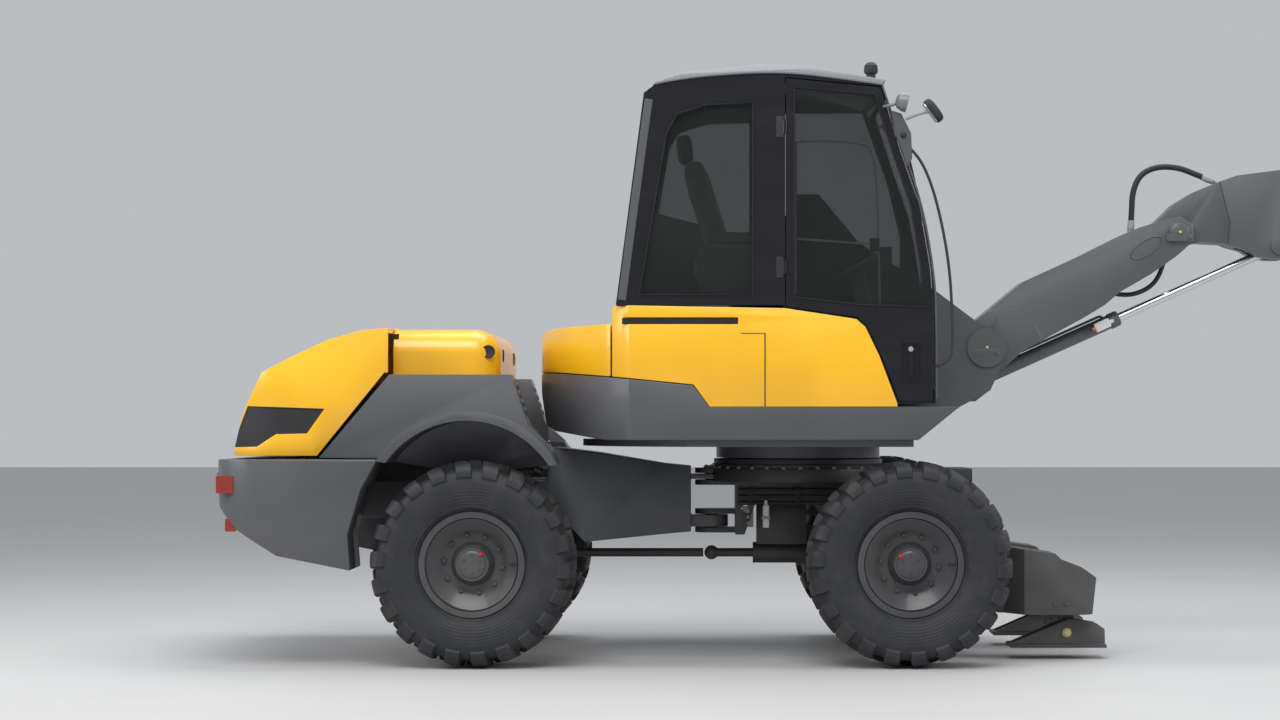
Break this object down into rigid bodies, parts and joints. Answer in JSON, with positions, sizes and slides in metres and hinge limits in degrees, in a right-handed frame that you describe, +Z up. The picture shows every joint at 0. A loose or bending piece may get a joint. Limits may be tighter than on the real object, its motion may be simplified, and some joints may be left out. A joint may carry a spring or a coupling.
{
  "type": "wheeled excavator",
  "caption": "Compact wheeled excavator with a hinged frame, a slewing cab, a two-piece boom with stick and bucket, and two front stabilisers.",
  "frame": {"origin": "middle of the whole machine on the ground, wheels standing on z = 0", "axes": "+X forward along the boom, +Y to the machine's left, +Z up"},
  "size_m": [8.1887, 2.4435, 3.17],
  "materials": {
    "yellow_paint": "satin",
    "cab_black": "gloss",
    "grey_paint": "satin",
    "boom_paint": "satin",
    "dark_paint": "matte",
    "roof_plastic": "matte",
    "dark_plastic": "matte",
    "lamp_lens": "gloss",
    "beacon_lens": "gloss",
    "tyre_rubber": "matte",
    "cab_glass": "gloss",
    "rod_chrome": "gloss",
    "seat_fabric": "matte",
    "bucket_steel": "worn"
  },
  "bodies": {
    "front_chassis": {"front_frame": "dark_paint", "slew_ring": "dark_paint", "front_axle": "dark_paint", "gearbox": "dark_paint"},
    "rear_chassis": {"rear_frame": "dark_paint", "rear_axle": "dark_paint", "engine": "dark_paint", "counterweight": "grey_paint", "rear_lamps": "lamp_lens", "fenders": "grey_paint", "front_hood": "yellow_paint"},
    "engine_hood": {"engine_hood": "yellow_paint", "hood_grilles": "dark_plastic"},
    "knuckle_right": {"knuckle_right": "dark_paint"},
    "knuckle_left": {"knuckle_left": "dark_paint"},
    "tie_rod": {"tie_rod": "dark_paint"},
    "turret": {"turret_deck": "boom_paint", "turret_skirt": "grey_paint", "turret_tail": "yellow_paint", "cover_right": "yellow_paint", "cover_left": "yellow_paint", "cab_shell": "cab_black", "cab_glass": "cab_glass", "cab_roof": "roof_plastic", "seat": "seat_fabric", "console": "dark_plastic", "mirrors": "dark_plastic", "beacon": "beacon_lens"},
    "cab_door": {"cab_door": "cab_black", "door_glass": "cab_glass"},
    "lower_boom": {"lower_boom": "boom_paint"},
    "upper_boom": {"upper_boom": "boom_paint"},
    "stick": {"stick": "boom_paint"},
    "bucket": {"bucket": "bucket_steel"},
    "rocker": {"rocker": "boom_paint"},
    "bucket_link": {"bucket_link": "boom_paint"},
    "wheel_rear_right": {"tyre_rear_right": "tyre_rubber", "rim_rear_right": "grey_paint"},
    "wheel_rear_left": {"tyre_rear_left": "tyre_rubber", "rim_rear_left": "grey_paint"},
    "wheel_front_right": {"tyre_front_right": "tyre_rubber", "rim_front_right": "grey_paint"},
    "wheel_front_left": {"tyre_front_left": "tyre_rubber", "rim_front_left": "grey_paint"},
    "lift_cylinder_barrel": {"lift_cylinder_barrel": "boom_paint"},
    "lift_cylinder_rod": {"lift_cylinder_rod": "rod_chrome"},
    "positioning_cylinder_barrel": {"positioning_cylinder_barrel": "boom_paint"},
    "positioning_cylinder_rod": {"positioning_cylinder_rod": "rod_chrome"},
    "stick_cylinder_barrel": {"stick_cylinder_barrel": "boom_paint"},
    "stick_cylinder_rod": {"stick_cylinder_rod": "rod_chrome"},
    "bucket_cylinder_barrel": {"bucket_cylinder_barrel": "boom_paint"},
    "bucket_cylinder_rod": {"bucket_cylinder_rod": "rod_chrome"},
    "stabiliser_arm_right": {"stabiliser_arm_right": "dark_paint"},
    "stabiliser_pad_right": {"stabiliser_pad_right": "dark_paint"},
    "stabiliser_arm_left": {"stabiliser_arm_left": "dark_paint"},
    "stabiliser_pad_left": {"stabiliser_pad_left": "dark_paint"}
  },
  "joints": [
    {"name": "articulation", "type": "hinge", "parent": "front_chassis", "child": "rear_chassis", "pos_m": [-1.486, 0, 0.8], "axis": [0, 0, 1], "range_deg": [-30, 30]},
    {"name": "rear_right_roll", "type": "hinge", "parent": "rear_chassis", "child": "wheel_rear_right", "pos_m": [-2.733, -0.96, 0.54], "axis": [0, 1, 0], "continuous": true},
    {"name": "rear_left_roll", "type": "hinge", "parent": "rear_chassis", "child": "wheel_rear_left", "pos_m": [-2.733, 0.96, 0.54], "axis": [0, 1, 0], "continuous": true},
    {"name": "steering", "type": "hinge", "parent": "front_chassis", "child": "knuckle_right", "pos_m": [-0.455, -0.69, 0.54], "axis": [0, 0, 1], "range_deg": [-25, 25]},
    {"name": "steering_left", "type": "hinge", "parent": "front_chassis", "child": "knuckle_left", "pos_m": [-0.455, 0.69, 0.54], "axis": [0, 0, 1], "range_deg": [-25.5, 25.5]},
    {"name": "tie_rod_ball", "type": "hinge", "parent": "knuckle_right", "child": "tie_rod", "pos_m": [-0.665, -0.69, 0.42], "axis": [0, 0, 1], "range_deg": [-25.5, 25.5]},
    {"name": "front_right_roll", "type": "hinge", "parent": "knuckle_right", "child": "wheel_front_right", "pos_m": [-0.455, -0.96, 0.54], "axis": [0, 1, 0], "continuous": true},
    {"name": "front_left_roll", "type": "hinge", "parent": "knuckle_left", "child": "wheel_front_left", "pos_m": [-0.455, 0.96, 0.54], "axis": [0, 1, 0], "continuous": true},
    {"name": "slew", "type": "hinge", "parent": "front_chassis", "child": "turret", "pos_m": [-1.003, 0, 1.08], "axis": [0, 0, 1], "continuous": true},
    {"name": "cab_door_hinge", "type": "hinge", "parent": "turret", "child": "cab_door", "pos_m": [-1.107, -1.09, 2], "axis": [0, 0, -1], "range_deg": [0, 90]},
    {"name": "hood_hinge", "type": "hinge", "parent": "rear_chassis", "child": "engine_hood", "pos_m": [-3.189, 0, 1.775], "axis": [0, -1, 0], "range_deg": [-60, 0]},
    {"name": "stabiliser_right", "type": "hinge", "parent": "front_chassis", "child": "stabiliser_arm_right", "pos_m": [-0.078, -0.34, 0.45], "axis": [0, -1, 0], "range_deg": [-25, 30]},
    {"name": "pad_right", "type": "hinge", "parent": "stabiliser_arm_right", "child": "stabiliser_pad_right", "pos_m": [0.436, -0.43, 0.14], "axis": [0, -1, 0], "range_deg": [-15, 15]},
    {"name": "stabiliser_left", "type": "hinge", "parent": "front_chassis", "child": "stabiliser_arm_left", "pos_m": [-0.078, 0.34, 0.45], "axis": [0, -1, 0], "range_deg": [-25, 30]},
    {"name": "pad_left", "type": "hinge", "parent": "stabiliser_arm_left", "child": "stabiliser_pad_left", "pos_m": [0.436, 0.43, 0.14], "axis": [0, -1, 0], "range_deg": [-15, 15]},
    {"name": "boom_foot", "type": "hinge", "parent": "turret", "child": "lower_boom", "pos_m": [0.05, 0.15, 1.695], "axis": [0, -1, 0], "range_deg": [-35, 45]},
    {"name": "boom_knee", "type": "hinge", "parent": "lower_boom", "child": "upper_boom", "pos_m": [1.132, 0.15, 2.34], "axis": [0, 1, 0], "range_deg": [-8, 75]},
    {"name": "stick_pivot", "type": "hinge", "parent": "upper_boom", "child": "stick", "pos_m": [3.022, 0.15, 2.25], "axis": [0, -1, 0], "range_deg": [-69, 31]},
    {"name": "bucket_pivot", "type": "hinge", "parent": "stick", "child": "bucket", "pos_m": [3.8465, 0.15, 0.82192], "axis": [0, -1, 0], "range_deg": [-10, 149]},
    {"name": "rocker_pivot", "type": "hinge", "parent": "stick", "child": "rocker", "pos_m": [3.6711, 0.15, 1.12573], "axis": [0, -1, 0], "range_deg": [-7.89, 116.22]},
    {"name": "link_pivot", "type": "hinge", "parent": "rocker", "child": "bucket_link", "pos_m": [3.94792, 0.15, 0.92608], "axis": [0, -1, 0], "range_deg": [-111, 7.54]},
    {"name": "lift_cylinder_base", "type": "hinge", "parent": "turret", "child": "lift_cylinder_barrel", "pos_m": [-0.887, 0.15, 2.223], "axis": [0, -1, 0], "range_deg": [-1.07, 1.32]},
    {"name": "lift_cylinder_slide", "type": "slide", "parent": "lift_cylinder_barrel", "child": "lift_cylinder_rod", "axis": [0.71, 0, -0.7042], "range_m": [-0.1669, 0.214]},
    {"name": "positioning_cylinder_base", "type": "hinge", "parent": "lower_boom", "child": "positioning_cylinder_barrel", "pos_m": [-0.008, 0.15, 1.501], "axis": [0, -1, 0], "range_deg": [-13.68, 1.64]},
    {"name": "positioning_cylinder_slide", "type": "slide", "parent": "positioning_cylinder_barrel", "child": "positioning_cylinder_rod", "axis": [0.9128, 0, 0.4085], "range_m": [-0.5915, 0.0649]},
    {"name": "stick_cylinder_base", "type": "hinge", "parent": "upper_boom", "child": "stick_cylinder_barrel", "pos_m": [1.918, 0.15, 2.756], "axis": [0, -1, 0], "range_deg": [-2.4, 1.19]},
    {"name": "stick_cylinder_slide", "type": "slide", "parent": "stick_cylinder_barrel", "child": "stick_cylinder_rod", "axis": [0.9771, 0, -0.2127], "range_m": [-0.1277, 0.2817]},
    {"name": "bucket_cylinder_base", "type": "hinge", "parent": "stick", "child": "bucket_cylinder_barrel", "pos_m": [3.28935, 0.15, 2.26694], "axis": [0, -1, 0], "range_deg": [-0.74, 8.25]},
    {"name": "bucket_cylinder_slide", "type": "slide", "parent": "bucket_cylinder_barrel", "child": "bucket_cylinder_rod", "axis": [0.4408, 0, -0.8976], "range_m": [-0.5451, 0.0385]}
  ],
  "couplings": [
    {"joint": "steering_left", "follows": "steering", "ratio": 1},
    {"joint": "tie_rod_ball", "follows": "steering", "ratio": -1},
    {"joint": "rocker_pivot", "follows": "bucket_pivot", "ratio": 0.7793},
    {"joint": "link_pivot", "follows": "bucket_pivot", "ratio": -0.7443},
    {"joint": "lift_cylinder_base", "follows": "boom_foot", "ratio": 0.02481},
    {"joint": "lift_cylinder_slide", "follows": "boom_foot", "m_per_rad": 0.26998},
    {"joint": "positioning_cylinder_base", "follows": "boom_knee", "ratio": -0.17978},
    {"joint": "positioning_cylinder_slide", "follows": "boom_knee", "m_per_rad": -0.45037},
    {"joint": "stick_cylinder_base", "follows": "stick_pivot", "ratio": 0.03186},
    {"joint": "stick_cylinder_slide", "follows": "stick_pivot", "m_per_rad": -0.23224},
    {"joint": "bucket_cylinder_base", "follows": "bucket_pivot", "ratio": 0.05406},
    {"joint": "bucket_cylinder_slide", "follows": "bucket_pivot", "m_per_rad": -0.20885}
  ]
}
